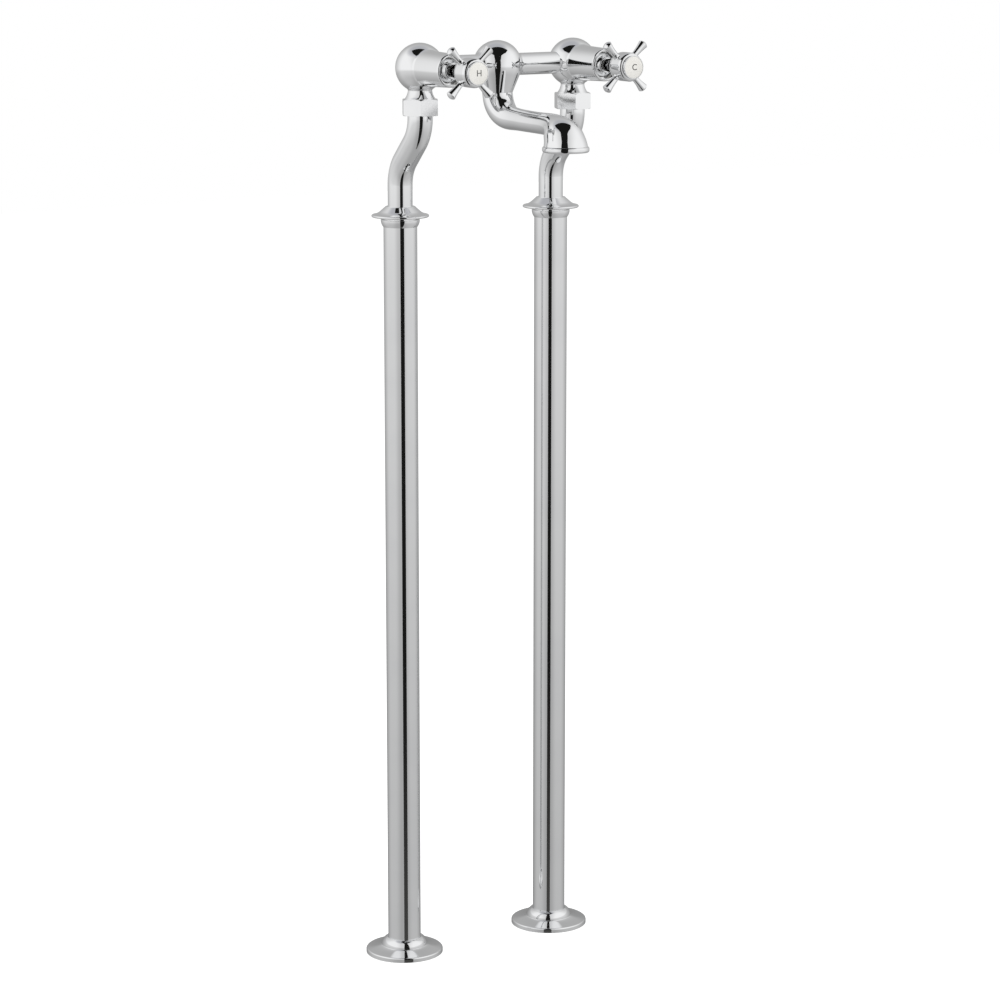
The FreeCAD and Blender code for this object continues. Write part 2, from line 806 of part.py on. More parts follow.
def handle_screw():
    shank_end = screw_floor - screw_length
    screw = turned([
        (0, shank_end),
        (screw_r - 0.5, shank_end),
        (screw_r - press_gap, shank_end + 0.5),
        (screw_r - press_gap, screw_floor),
        (screw_head_r, screw_floor),
        (screw_head_r, screw_floor + 0.6 * screw_head),
        (screw_r, screw_floor + screw_head),
        (0, screw_floor + screw_head),
    ])
    head_top = screw_floor + screw_head
    length, width, depth = screw_slot
    for turn in (0, 90):
        slot = Part.makeBox(length, width, depth + 1, Vector(-length / 2, -width / 2, head_top - depth))
        slot.rotate(Vector(0, 0, 0), Vector(0, 0, 1), turn)
        screw = screw.cut(slot)
    return screw


def index_bezel():
    return turned([
        (bezel_bore_r, pocket_floor + 0.4),
        (bezel_stem_r, pocket_floor + 0.4),
        (bezel_stem_r, bezel_back),
        (bezel_r, bezel_back),
        (bezel_r, bezel_front - 0.5),
        (bezel_r - 0.15, bezel_front - 0.15, bezel_r - 0.5, bezel_front),
        (index_r + fit_gap, bezel_front),
        (index_r + fit_gap, index_seat),
        (bezel_bore_r, index_seat),
    ])


def index_disc():
    return turned([
        (0, index_seat),
        (index_r, index_seat),
        (index_r, index_edge),
        dome(index_r, index_edge, index_crown),
    ])


def spout_sections():
    """Circles along the spout: (forward, height, dip of its direction in degrees, outer and inner radius)."""
    rear_axis = spout_axis + spout_fall
    neck = spout_neck_r
    tube = spout_tube_r
    bell = outlet_bell_r
    bore = tube - spout_wall
    rows = [(0, spout_joint, 90, neck, neck_bore_r + 1)]
    for turn, taper in ((30, 0.985), (60, 0.9), (90, 0.77)):
        a = math.radians(turn)
        forward = spout_bend * (1 - math.cos(a))
        height = spout_joint - (spout_joint - rear_axis) * math.sin(a)
        rows.append((forward, height, 90 - turn, taper * neck, neck_bore_r + 1))
    for along, fall, swell in level_rows:
        rows.append((along * spout_reach, spout_axis + fall * spout_fall, 0, swell * tube, bore))
    for back, drop, dip, swell in bell_rows:
        rows.append((spout_reach - back, spout_axis - drop, dip, tube + swell, bore + min(swell, 7.5)))
    back, drop, dip, less = bell_shoulder
    rows.append((spout_reach - back, spout_axis - drop, dip, bell - less, bell - less - spout_wall))
    rows.append((spout_reach, rim_bottom + outlet_rim_height, 90, bell, bell - spout_wall))
    return rows


def spout_loft(inside):
    wires = []
    for forward, height, dip, outer, inner in spout_sections():
        a = math.radians(dip)
        along = Vector(0, -math.cos(a), -math.sin(a))
        at = Vector(0, -body_offset - forward, height)
        wires.append(Part.Wire(Part.makeCircle(inner if inside else outer, at, along)))
    return Part.makeLoft(wires, True, False)


def spout():
    """Neck, level tube and bell shaped outlet with a rolled rim, hollow all the way."""
    rim_y = -body_offset - spout_reach
    rim_top = rim_bottom + outlet_rim_height
    rim = turned([
        (0, rim_bottom),
        (outlet_rim_r - 1.2, rim_bottom),
        (outlet_rim_r, rim_bottom + 0.3 * outlet_rim_height,
         outlet_rim_r, rim_bottom + 0.5 * outlet_rim_height),
        (outlet_rim_r - 0.4, rim_top - 0.9, outlet_bell_r, rim_top),
        (0, rim_top),
    ])
    rim.translate(Vector(0, rim_y, 0))
    foot = (0, -body_offset, spout_joint)
    spigot = rod(spout_spigot_r, foot, (0, -body_offset, spout_joint + spout_spigot_length - 0.5))
    spigot = spigot.cut(rod(neck_bore_r + 1, foot, (0, -body_offset, spout_joint + spout_spigot_length)))
    rim = rim.cut(rod(outlet_mouth_r, (0, rim_y, rim_bottom - 1), (0, rim_y, rim_top + 1)))
    tube = spout_loft(False).cut(spout_loft(True))
    return tube.fuse([rim, spigot])


def flow_straightener():
    """A perforated plate on a skirt that sits in the mouth of the outlet."""
    low = rim_bottom + straightener_lift
    top = low + straightener_height
    plate = top - straightener_thickness
    skirt_r = outlet_mouth_r - fit_gap
    body = turned([
        (skirt_r - skirt_wall, low),
        (skirt_r, low),
        (skirt_r, low + skirt_height),
        (straightener_r, top),
        (0, top),
        (0, plate),
        (straightener_r - 1.2, plate),
        (skirt_r - skirt_wall, low + 0.6 * skirt_height),
    ])
    for row_r, count in straightener_rows:
        for i in range(count):
            a = 2 * math.pi * i / count
            x, y = row_r * math.cos(a), row_r * math.sin(a)
            body = body.cut(rod(straightener_hole_r, (x, y, plate - 1), (x, y, top + 1)))
    body.translate(Vector(0, -body_offset - spout_reach, 0))
    return body


for name, side in sides:
    save(name + "_floor_plate", to_pipe(floor_plate(), side))
    save(name + "_floor_cover", to_pipe(floor_cover(), side))
    save(name + "_stand_pipe", to_pipe(stand_pipe(), side))
    save(name + "_pipe_ferrule", to_pipe(pipe_ferrule(), side))
    save(name + "_pipe_bush", to_pipe(pipe_bush(), side))
    save(name + "_pipe_collar", to_pipe(pipe_collar(), side))
    save(name + "_inlet_fitting", to_pipe(inlet_fitting(), side))
    save(name + "_riser_tube", to_pipe(riser_tube(), side))
    save(name + "_riser_coupling", to_pipe(riser_coupling(), side))
    save(name + "_coupling_orings", to_pipe(Part.makeCompound(coupling_orings()), side))
    save(name + "_crank_tube", to_pipe(crank_tube(), side))
    save(name + "_union_nut", to_tail(union_nut(nut_turns[name]), side))
    save(name + "_union_washer", to_tail(union_washer(), side))
    save(name + "_valve_body", valve_body(side))
    save(name + "_seat_seal", to_valve(seat_seal(), side))
    save(name + "_fixed_disc", to_valve(ported_disc(disc_r, disc_face, 0), side))
    save(name + "_moving_disc", to_valve(moving_disc(), side))
    save(name + "_cartridge_body", to_valve(cartridge_body(), side))
    save(name + "_spindle", to_valve(spindle(), side))
    save(name + "_stem_orings", to_valve(Part.makeCompound(stem_orings()), side))
    save(name + "_valve_bonnet", to_valve(valve_bonnet(), side))
    save(name + "_crosshead", to_valve(crosshead(), side))
    save(name + "_handle_screw", to_valve(handle_screw(), side))
    save(name + "_index_bezel", to_valve(index_bezel(), side))
    save(name + "_index_disc", to_valve(index_disc(), side))

save("pipe_grub_screws", Part.makeCompound([to_pipe(grub_screw(), side) for name, side in sides]))
save("filler_body", filler_body())
save("spout", spout())
save("flow_straightener", flow_straightener())
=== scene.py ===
import bpy
import math
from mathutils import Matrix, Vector


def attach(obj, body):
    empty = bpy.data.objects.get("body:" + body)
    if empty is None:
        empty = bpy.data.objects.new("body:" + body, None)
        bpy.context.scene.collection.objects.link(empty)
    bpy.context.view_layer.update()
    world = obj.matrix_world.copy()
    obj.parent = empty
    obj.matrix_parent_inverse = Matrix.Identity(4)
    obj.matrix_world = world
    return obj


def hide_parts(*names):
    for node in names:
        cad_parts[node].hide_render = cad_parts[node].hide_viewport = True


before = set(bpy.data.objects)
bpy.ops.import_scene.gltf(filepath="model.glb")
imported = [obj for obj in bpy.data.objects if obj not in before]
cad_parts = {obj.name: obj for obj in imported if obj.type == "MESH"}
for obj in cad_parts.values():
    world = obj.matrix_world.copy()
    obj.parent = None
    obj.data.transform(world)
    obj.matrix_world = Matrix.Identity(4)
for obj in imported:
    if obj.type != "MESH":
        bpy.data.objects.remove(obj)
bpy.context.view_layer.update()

mm = 0.001
sides = (("hot", -1), ("cold", 1))
print("frame loaded with", len(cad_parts), "nodes")

layout = {
    "pipeX": 90,         # half the distance between the stand pipes
    "castingY": -40,     # the casting stands this far in front of the pipes
    "castingZ": 922,     # height of the casting and the valves
    "spoutY": -165,      # middle of the spout's outlet
}
meshing = {
    # faces round a turned piece, and degrees between the points of its arcs
    "arm": (64, 5), "plain": (96, 4), "disc": (96, 1), "pipe": (128, 4), "hub": (128, 3),
    "rim": (144, 4), "casting": (144, 3),
    "cornerTurn": 4,     # a small rounded corner has this many times fewer points
    "straight": 1e-9,    # an arc flatter than this is a straight line
    "onAxis": 1e-6,      # a profile that starts nearer to its axis than this isn't a ring
    "weld": 2e-6,        # points closer than this, in metres, become one
    "sharp": 32,         # an edge that turns further than this, in degrees, stays sharp
}


# shaping helpers, all in millimetres

def between(low, high, share=0.5):
    return low + share * (high - low)


def endOf(step):
    return Vector(step[:2] if len(step) == 3 else step[-2:])


def tracePoints(profile, turn):
    # a pair is a corner, a third number rounds it, and four numbers are an arc's middle and its end
    spots = []
    for i, step in enumerate(profile):
        if len(step) == 4:
            spots += arcPoints(spots[-1], Vector(step[:2]), endOf(step), turn)
        elif len(step) == 3:
            after = Vector(profile[(i + 1) % len(profile)][:2])
            spots += roundCorner(endOf(profile[i - 1]), endOf(step), after, step[2], turn)
        else:
            spots.append(endOf(step))
    return spots


def arcPoints(start, middle, end, turn):
    a, b = middle - start, end - start
    cross = 2 * (a.x * b.y - a.y * b.x)
    if abs(cross) < meshing["straight"]:
        return [end]
    centre = start + Vector((b.y * a.length_squared - a.y * b.length_squared,
                             a.x * b.length_squared - b.x * a.length_squared)) / cross
    first = math.atan2(start.y - centre.y, start.x - centre.x)
    last = math.atan2(end.y - centre.y, end.x - centre.x)
    way = 1 if cross > 0 else -1
    last = first + way * ((way * (last - first)) % math.tau)
    count = max(2, math.ceil(abs(last - first) / math.radians(turn)))
    radius = (start - centre).length
    spots = []
    for i in range(1, count + 1):
        angle = first + (last - first) * i / count
        spots.append(centre + Vector((math.cos(angle), math.sin(angle))) * radius)
    return spots


def roundCorner(before, corner, after, radius, turn):
    back, on = (before - corner).normalized(), (after - corner).normalized()
    half = back.angle(on) / 2
    run = radius / math.tan(half)
    start, end = corner + back * run, corner + on * run
    middle = corner + (back + on).normalized() * (radius / math.sin(half) - radius)
    return [start] + arcPoints(start, middle, end, turn * meshing["cornerTurn"])


def domeStep(rimR, rim, crown):
    # an arc from a rim up to a crown on the axis
    rise = crown - rim
    radius = (rimR ** 2 + rise ** 2) / (2 * rise)
    half = 0.5 * math.atan2(rimR, rim - crown + radius)
    return (radius * math.sin(half), crown - radius * (1 - math.cos(half)), 0, crown)


# the three places give a profile's origin, the axis that it turns about and the way its radius points

def upright(x, y):
    return Vector((x, y, 0)), Vector((0, 0, 1)), Vector((1, 0, 0))


def pipeLine(side):
    return upright(side * layout["pipeX"], 0)


def valveLine(side):
    centre = Vector((side * layout["pipeX"], layout["castingY"], layout["castingZ"]))
    return centre, Vector((0, -1, 0)), Vector((1, 0, 0))


def pickOnly(piece):
    bpy.ops.object.select_all(action="DESELECT")
    piece.select_set(True)
    bpy.context.view_layer.objects.active = piece


def startPoint(name, spot):
    # one point in edit mode, ready to be pulled into a line
    bpy.ops.object.select_all(action="DESELECT")
    bpy.ops.mesh.primitive_plane_add(size=mm, location=(0, 0, 0))
    piece = bpy.context.object
    piece.name = name
    bpy.ops.object.mode_set(mode="EDIT")
    bpy.ops.mesh.merge(type="CENTER")
    bpy.ops.transform.translate(value=spot)
    return piece


def startRing(count, radius, spot):
    bpy.ops.object.select_all(action="DESELECT")
    bpy.ops.mesh.primitive_circle_add(vertices=count, radius=radius * mm, location=[v * mm for v in spot])
    bpy.ops.object.mode_set(mode="EDIT")
    return bpy.context.object


def pullPoint(move):
    bpy.ops.mesh.extrude_vertices_move(TRANSFORM_OT_translate={"value": move})


def pullEdges(move):
    bpy.ops.mesh.extrude_edges_move(TRANSFORM_OT_translate={"value": move})


def lathe(name, profile, place, grade="plain"):
    around, turn = meshing[grade]
    origin, along, outward = place
    flat = tracePoints(profile, turn)
    if flat[0].x > meshing["onAxis"]:
        flat.append(flat[0])
    spots = [(origin + outward * spot.x + along * spot.y) * mm for spot in flat]
    piece = startPoint(name, spots[0])
    for start, end in zip(spots, spots[1:]):
        pullPoint(end - start)
    bpy.ops.mesh.select_all(action="SELECT")
    bpy.ops.mesh.spin(steps=around, angle=math.tau, center=origin * mm, axis=along)
    closeUp()
    smoothOff(piece)
    return piece


def closeUp():
    bpy.ops.mesh.select_all(action="SELECT")
    bpy.ops.mesh.remove_doubles(threshold=meshing["weld"])
    bpy.ops.mesh.normals_make_consistent(inside=False)
    bpy.ops.object.mode_set(mode="OBJECT")


def smoothOff(piece, sharp=meshing["sharp"]):
    pickOnly(piece)
    bpy.ops.object.shade_smooth_by_angle(angle=math.radians(sharp))
    # weighted normals keep the long straight faces from looking bent
    applyModifier(piece, "WEIGHTED_NORMAL", {"keep_sharp": True})


def applyModifier(piece, kind, settings):
    modifier = piece.modifiers.new(kind.lower(), kind)
    for key, value in settings.items():
        setattr(modifier, key, value)
    pickOnly(piece)
    bpy.ops.object.modifier_apply(modifier=modifier.name)


def carve(piece, tool, operation):
    applyModifier(piece, "BOOLEAN", {"operation": operation, "solver": "EXACT", "object": tool})
    bpy.data.objects.remove(tool)


def joinUp(pieces, name):
    bpy.ops.object.select_all(action="DESELECT")
    for piece in pieces:
        piece.select_set(True)
    bpy.context.view_layer.objects.active = pieces[0]
    bpy.ops.object.join()
    pieces[0].name = name
    return pieces[0]


# shader wiring

class Signal:
    def __init__(self, tree, socket=None):
        self.tree = tree
        self.socket = socket

    def node(self, kind, settings=None, inputs=None, output=0):
        made = self.tree.nodes.new(kind)
        for key, value in (settings or {}).items():
            setattr(made, key, value)
        for key, value in (inputs or {}).items():
            if isinstance(value, Signal):
                self.tree.links.new(value.socket, made.inputs[key])
            else:
                made.inputs[key].default_value = value
        return Signal(self.tree, made.outputs[output] if made.outputs else None)

    def maths(self, operation, first, second=0.0):
        return self.node("ShaderNodeMath", {"operation": operation}, {0: first, 1: second})

    def __add__(self, other):
        return self.maths("ADD", self, other)

    def __radd__(self, other):
        return self.maths("ADD", other, self)

    def __sub__(self, other):
        return self.maths("SUBTRACT", self, other)

    def __rsub__(self, other):
        return self.maths("SUBTRACT", other, self)

    def __mul__(self, other):
        return self.maths("MULTIPLY", self, other)

    def __rmul__(self, other):
        return self.maths("MULTIPLY", other, self)


def freshTree(name):
    finish = bpy.data.materials.new(name)
    finish.use_nodes = True
    finish.node_tree.nodes.clear()
    return finish, Signal(finish.node_tree)


def objectPlace(make):
    return make.node("ShaderNodeTexCoord", output="Object")


def splitPlace(make):
    parts = make.node("ShaderNodeSeparateXYZ", {}, {0: objectPlace(make)})
    return [Signal(make.tree, output) for output in parts.socket.node.outputs]


def noiseAt(make, place, scale, detail):
    return make.node("ShaderNodeTexNoise", {}, {"Vector": place, "Scale": scale, "Detail": detail})


def softStep(start, low, high):
    return start.node("ShaderNodeMapRange", {"interpolation_type": "SMOOTHSTEP"},
                      {"Value": start, "From Min": low, "From Max": high})


def mixTones(make, amount, first, second):
    # a Mix node's colours are inputs 6 and 7 and its mixed colour is output 2
    return make.node("ShaderNodeMix", {"data_type": "RGBA"},
                     {0: amount, 6: (*first, 1), 7: (*second, 1)}, output=2)


def bumpFrom(make, look, height):
    return make.node("ShaderNodeBump", {}, {
        "Strength": look["ripple"], "Distance": look["rippleDepth"], "Height": height,
    })


def glowFrom(make, tone, strength):
    return make.node("ShaderNodeEmission", {}, {"Color": tone, "Strength": strength})


def closeFinish(make, inputs):
    shader = make.node("ShaderNodeBsdfPrincipled", {}, inputs)
    make.node("ShaderNodeOutputMaterial", {}, {"Surface": shader})


# finishes: a noise is its scale and detail, a range is where a mark starts and where it is full

chromeLook = {
    "tone": (0.86, 0.865, 0.87),
    "cloudy": (0.825, 0.83, 0.84),
    "gloss": 0.03,          # roughness where it is cleanest
    "film": 0.035,          # extra roughness where hands and water dull it
    "dried": 0.05,          # extra roughness of a dried drop
    "grain": 0.005,         # extra roughness of the finest polishing marks
    "ripple": 0.004,        # how much the polishing left the surface uneven
    "rippleDepth": 0.001,
    "filmNoise": (22, 4), "filmRange": (0.42, 0.7), "filmTint": 0.7,
    "dropScale": 260, "dropRange": (0.04, 0.09), "dropTint": 0.3,
    "patchNoise": (60, 2), "patchRange": (0.62, 0.72),      # where drops have dried at all
    "grainNoise": (900, 2),
}
nutLook = {**chromeLook, "gloss": 0.12, "film": 0.05}       # the spanner flats are less polished


def polishedChrome(name, look):
    finish, make = freshTree(name)
    place = objectPlace(make)
    broad = noiseAt(make, place, *look["filmNoise"])
    film = softStep(broad, *look["filmRange"])
    drops = make.node("ShaderNodeTexVoronoi", {}, {"Vector": place, "Scale": look["dropScale"]})
    patches = softStep(noiseAt(make, place, *look["patchNoise"]), *look["patchRange"])
    dried = (1 - softStep(drops, *look["dropRange"])) * patches
    grain = noiseAt(make, place, *look["grainNoise"])
    marks = film * look["filmTint"] + dried * look["dropTint"]
    tone = mixTones(make, marks, look["tone"], look["cloudy"])
    rough = look["gloss"] + film * look["film"] + dried * look["dried"] + grain * look["grain"]
    bump = bumpFrom(make, look, broad)
    closeFinish(make, {"Base Color": tone, "Metallic": 1.0, "Roughness": rough, "Normal": bump})
    return finish


porcelainLook = {
    "glaze": (0.76, 0.75, 0.715),
    "shade": (0.69, 0.675, 0.63),
    "gloss": 0.12,
    "uneven": 0.08,         # extra roughness where the glaze is clouded
    "cloudNoise": (70, 3), "cloudRange": (0.35, 0.8), "cloudTint": 0.5,
    "speckNoise": (1300, 2), "speckRange": (0.76, 0.84), "speckTint": 0.25,
    "peelNoise": (320, 2), "ripple": 0.05, "rippleDepth": 0.0004,
    "coat": 0.6, "coatGloss": 0.05,
}


def porcelain(name, look):
    finish, make = freshTree(name)
    place = objectPlace(make)
    cloud = noiseAt(make, place, *look["cloudNoise"])
    clouds = softStep(cloud, *look["cloudRange"])
    specks = softStep(noiseAt(make, place, *look["speckNoise"]), *look["speckRange"])
    marks = clouds * look["cloudTint"] + specks * look["speckTint"]
    tone = mixTones(make, marks, look["glaze"], look["shade"])
    rough = look["gloss"] + cloud * look["uneven"]
    bump = bumpFrom(make, look, noiseAt(make, place, *look["peelNoise"]))
    closeFinish(make, {"Base Color": tone, "Roughness": rough, "Normal": bump,
                       "Coat Weight": look["coat"], "Coat Roughness": look["coatGloss"]})
    return finish


turnedLook = {
    "waver": 1.5, "waverDetail": 2, "lineRough": 0.08,      # the tool's lines
    "stainNoise": (70, 5), "stainRange": (0.35, 0.75), "stainRough": 0.15,
    "ripple": 0.12, "rippleDepth": 0.0002,
}


def turnedMetal(name, tone, dark, gloss, lines):
    look = turnedLook
    finish, make = freshTree(name)
    place = objectPlace(make)
    grooves = make.node("ShaderNodeTexWave", {"bands_direction": "Z"}, {
        "Vector": place, "Scale": lines, "Distortion": look["waver"], "Detail": look["waverDetail"],
    })
    stain = noiseAt(make, place, *look["stainNoise"])
    colour = mixTones(make, softStep(stain, *look["stainRange"]), tone, dark)
    rough = gloss + stain * look["stainRough"] + grooves * look["lineRough"]
    bump = bumpFrom(make, look, grooves + stain)
    closeFinish(make, {"Base Color": colour, "Metallic": 1.0, "Roughness": rough, "Normal": bump})
    return finish


mouldedLook = {
    "cloudDetail": 4, "cloudRange": (0.3, 0.75), "uneven": 0.12, "ripple": 0.15, "rippleDepth": 0.0002,
}


def mouldedStuff(name, tone, dark, gloss, grain):
    look = mouldedLook
    finish, make = freshTree(name)
    cloud = noiseAt(make, objectPlace(make), grain, look["cloudDetail"])
    colour = mixTones(make, softStep(cloud, *look["cloudRange"]), tone, dark)
    bump = bumpFrom(make, look, cloud)
    closeFinish(make, {"Base Color": colour, "Roughness": gloss + cloud * look["uneven"], "Normal": bump})
    return finish


# a material's name, its tone and stained tone, its roughness, and how fine its lines or grain are
finishes = {
    "chrome": polishedChrome("polishedChrome", chromeLook),
    "nutChrome": polishedChrome("satinChrome", nutLook),
    "porcelain": porcelain("glazedPorcelain", porcelainLook),
    "steel": turnedMetal("zincSteel", (0.62, 0.62, 0.63), (0.48, 0.48, 0.49), 0.32, 900),
    "brass": turnedMetal("machinedBrass", (0.80, 0.64, 0.34), (0.66, 0.50, 0.25), 0.22, 1400),
    "nickel": turnedMetal("nickelPlate", (0.66, 0.65, 0.62), (0.52, 0.51, 0.49), 0.26, 1400),
    "copper": turnedMetal("drawnCopper", (0.82, 0.49, 0.34), (0.62, 0.34, 0.22), 0.28, 300),
    "rubber": mouldedStuff("blackRubber", (0.025, 0.025, 0.026), (0.045, 0.044, 0.043), 0.55, 400),
    "valve_ceramic": mouldedStuff("lappedCeramic", (0.86, 0.85, 0.82), (0.80, 0.79, 0.76), 0.18, 300),
    "acetal": mouldedStuff("mouldedAcetal", (0.80, 0.80, 0.79), (0.72, 0.72, 0.71), 0.40, 250),
    "enamel": mouldedStuff("blackEnamel", (0.03, 0.03, 0.03), (0.05, 0.05, 0.05), 0.30, 600),
}


def finishPiece(piece, slot, body, *nodes, finish=None):
    # a piece that both sides have is named for its own side
    side = (nodes or (body,))[0].split("_")[0]
    if side in dict(sides):
        piece.name = side + piece.name[0].upper() + piece.name[1:]
    piece.data.materials.clear()
    piece.data.materials.append(finishes[finish or slot])
    if nodes:
        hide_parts(*nodes)
    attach(piece, body)


# the pieces that keep their CAD shape
keptNodes = {
    "steel": ("floor_plate", "handle_screw", "pipe_grub_screws"),
    "brass": ("inlet_fitting", "pipe_bush", "riser_coupling"),
    "nickel": ("cartridge_body", "spindle"),
    "copper": ("riser_tube",),
    "rubber": ("coupling_orings", "union_washer", "seat_seal", "stem_orings"),
    "valve_ceramic": ("fixed_disc", "moving_disc"),
    "acetal": ("flow_straightener",),
}
for finish, endings in keptNodes.items():
    for nodeName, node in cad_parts.items():
        if nodeName.endswith(endings):
            for materialSlot in node.material_slots:
                materialSlot.material = finishes[finish]
print("finishes ready")


# foot and stand pipe: a pair of numbers is how far in or out, and how far down or up

floorCover = {
    "rim": 40, "rimRound": 0.25, "edgeTop": 4.8,
    "roll": (1.9, 1.8), "rollMiddle": (0.55, 0.5),      # the rolled edge between the rim and its top
    "dip": 0.28,            # share of the slope's rise that is done half way in
    "boss": 24.0, "bossFoot": 8.0, "bossStep": 0.6, "bossBulge": (1.75, 0.7),
    "height": 16.6, "lip": 18.6, "lipRound": (0.35, 0.25),
    "bore": 17.08, "boreRound": (0.25, 0.3), "boreLength": 3.8,
    "wall": 1.3, "edgeWall": (1.7, 1.8), "lipWall": 4.2,
}
standPipe = {"outer": 17, "inner": 15.5, "foot": 3, "footRound": 0.2, "top": 769, "topRound": 0.3}
ferrule = {
    "outer": 19.6, "inner": 17.0, "height": 7.5, "straight": 1.8,
    "footEdge": 0.4, "bulge": (0.45, 0.35), "topRound": 0.5,
}
collar = {
    "foot": 769, "footR": 16.6, "lift": 2.2, "height": 13, "bore": 12.58, "boreRound": 0.2,
    "rim": 29, "lip": 2.6,
    "shoulder": (0.7, 0.6),     # share of the rim's radius, share of the way down to the lip
    "hollow": (0.3, 0.9),       # how far the sweep from lip to shoulder is hollowed
    "top": 14.7, "topFoot": (0.5, 0.4), "topMiddle": (0.2, 0.08), "topRound": 0.3,
}


def makeFloorCover(side, c):
    rim, edgeTop, height = c["rim"], c["edgeTop"], c["height"]
    boss, bossFoot, boreFoot = c["boss"], c["bossFoot"], height - c["boreLength"]
    inner = rim - c["edgeWall"][0]
    slope = (between(rim, boss), between(edgeTop, bossFoot, c["dip"]))
    return lathe("floorCover", [
        (inner, 0), (rim, 0, c["rimRound"]), (rim, edgeTop - c["roll"][1]),
        (rim - c["rollMiddle"][0], edgeTop - c["rollMiddle"][1], rim - c["roll"][0], edgeTop),
        (*slope, boss + c["bossStep"], bossFoot), (boss, bossFoot + c["bossStep"]),
        (boss - c["bossBulge"][0], between(bossFoot, height) + c["bossBulge"][1],
         c["lip"], height - c["lipRound"][1]),
        (c["lip"] - c["lipRound"][0], height), (c["bore"] + c["boreRound"][0], height),
        (c["bore"], height - c["boreRound"][1]), (c["bore"], boreFoot),
        (boss - c["lipWall"], boreFoot), (boss - c["wall"], bossFoot),
        (slope[0], slope[1] - c["wall"]), (inner, edgeTop - c["edgeWall"][1]),
    ], pipeLine(side), "pipe")


def makeStandPipe(side, c):
    return lathe("standPipe", [
        (c["inner"], c["foot"]), (c["outer"], c["foot"], c["footRound"]),
        (c["outer"], c["top"], c["topRound"]), (c["inner"], c["top"], c["topRound"]),
    ], pipeLine(side), "pipe")


def makeFerrule(side, c):
    inner, outer, top = c["inner"], c["outer"], standPipe["top"]
    low, straight = top - c["height"], top - c["straight"]
    return lathe("pipeFerrule", [
        (inner, low), (inner + c["footEdge"], low),
        (between(inner, outer) + c["bulge"][0], between(low, straight) - c["bulge"][1], outer, straight),
        (outer, top, c["topRound"]), (inner, top),
    ], pipeLine(side), "pipe")


def makeCollar(side, c):
    foot, rim, lip = c["foot"], c["rim"], c["lip"]
    low, top = foot + c["lift"], foot + c["height"]
    lipTop = low + lip
    shoulderR, shoulder = c["shoulder"][0] * rim, between(top, lipTop, c["shoulder"][1])
    return lathe("pipeCollar", [
        (c["bore"], foot), (c["footR"], foot), (c["footR"], low), (rim - lip / 2, low),
        (rim, low + lip / 2, rim - lip / 2, lipTop),
        (between(shoulderR, rim) - c["hollow"][0], lipTop + c["hollow"][1], shoulderR, shoulder),
        (c["top"] + c["topFoot"][0], top - c["topFoot"][1]),
        (c["top"] + c["topMiddle"][0], top - c["topMiddle"][1], c["top"] - c["topRound"], top),
        (c["bore"], top, c["boreRound"]),
    ], pipeLine(side), "pipe")


for name, side in sides:
    finishPiece(makeFloorCover(side, floorCover), "chrome", name + "_cover", name + "_floor_cover")
    finishPiece(makeStandPipe(side, standPipe), "chrome", "stand", name + "_stand_pipe")
    finishPiece(makeFerrule(side, ferrule), "chrome", "stand", name + "_pipe_ferrule")
    finishPiece(makeCollar(side, collar), "chrome", name + "_collar", name + "_pipe_collar")
print("feet, stand pipes and collars made")


# cranked tube and union

crank = {
    "radius": 12.5, "bend": 36, "lean": 45, "low": 728, "corner": 818, "top": 880,
    "around": 128, "bendSteps": 14,
}
unionNut = {
    "flats": 34, "foot": 875.2, "top": 891.2, "bore": 12.6, "thread": 15.15, "web": 3,
    "chamfer": 1.6, "chamferFall": 0.55, "clear": 0.1, "spare": 2, "edgeRound": 0.5, "edgeSteps": 3,
    "edgeAngle": 24, "sharp": 28,
    "turns": {"hot": 32, "cold": 36},       # where each nut came to rest
}


def makeCrank(side, c):
    x, forward = side * layout["pipeX"], layout["castingY"]
    lean = math.radians(c["lean"])
    tangent = c["bend"] * math.tan(lean / 2)
    slope = -forward - 2 * tangent * math.sin(lean)     # at 45 degrees it goes as far forward as up
    first, second = c["corner"] - tangent, c["corner"] - forward + tangent
    piece = startRing(c["around"], c["radius"], (x, 0, c["low"]))
    pullEdges((0, 0, (first - c["low"]) * mm))
    bpy.ops.mesh.spin(steps=c["bendSteps"], angle=lean, axis=(-1, 0, 0),
                      center=(x * mm, -c["bend"] * mm, first * mm))
    pullEdges((0, -slope * mm, slope * mm))
    bpy.ops.mesh.spin(steps=c["bendSteps"], angle=lean, axis=(1, 0, 0),
                      center=(x * mm, (forward + c["bend"]) * mm, second * mm))
    pullEdges((0, 0, (c["top"] - second) * mm))
    bpy.ops.mesh.select_all(action="SELECT")
    bpy.ops.mesh.fill_holes(sides=0)
    closeUp()
    bpy.ops.object.transform_apply(location=True, rotation=False, scale=False)
    smoothOff(piece)
    piece.name = "crankTube"
    return piece


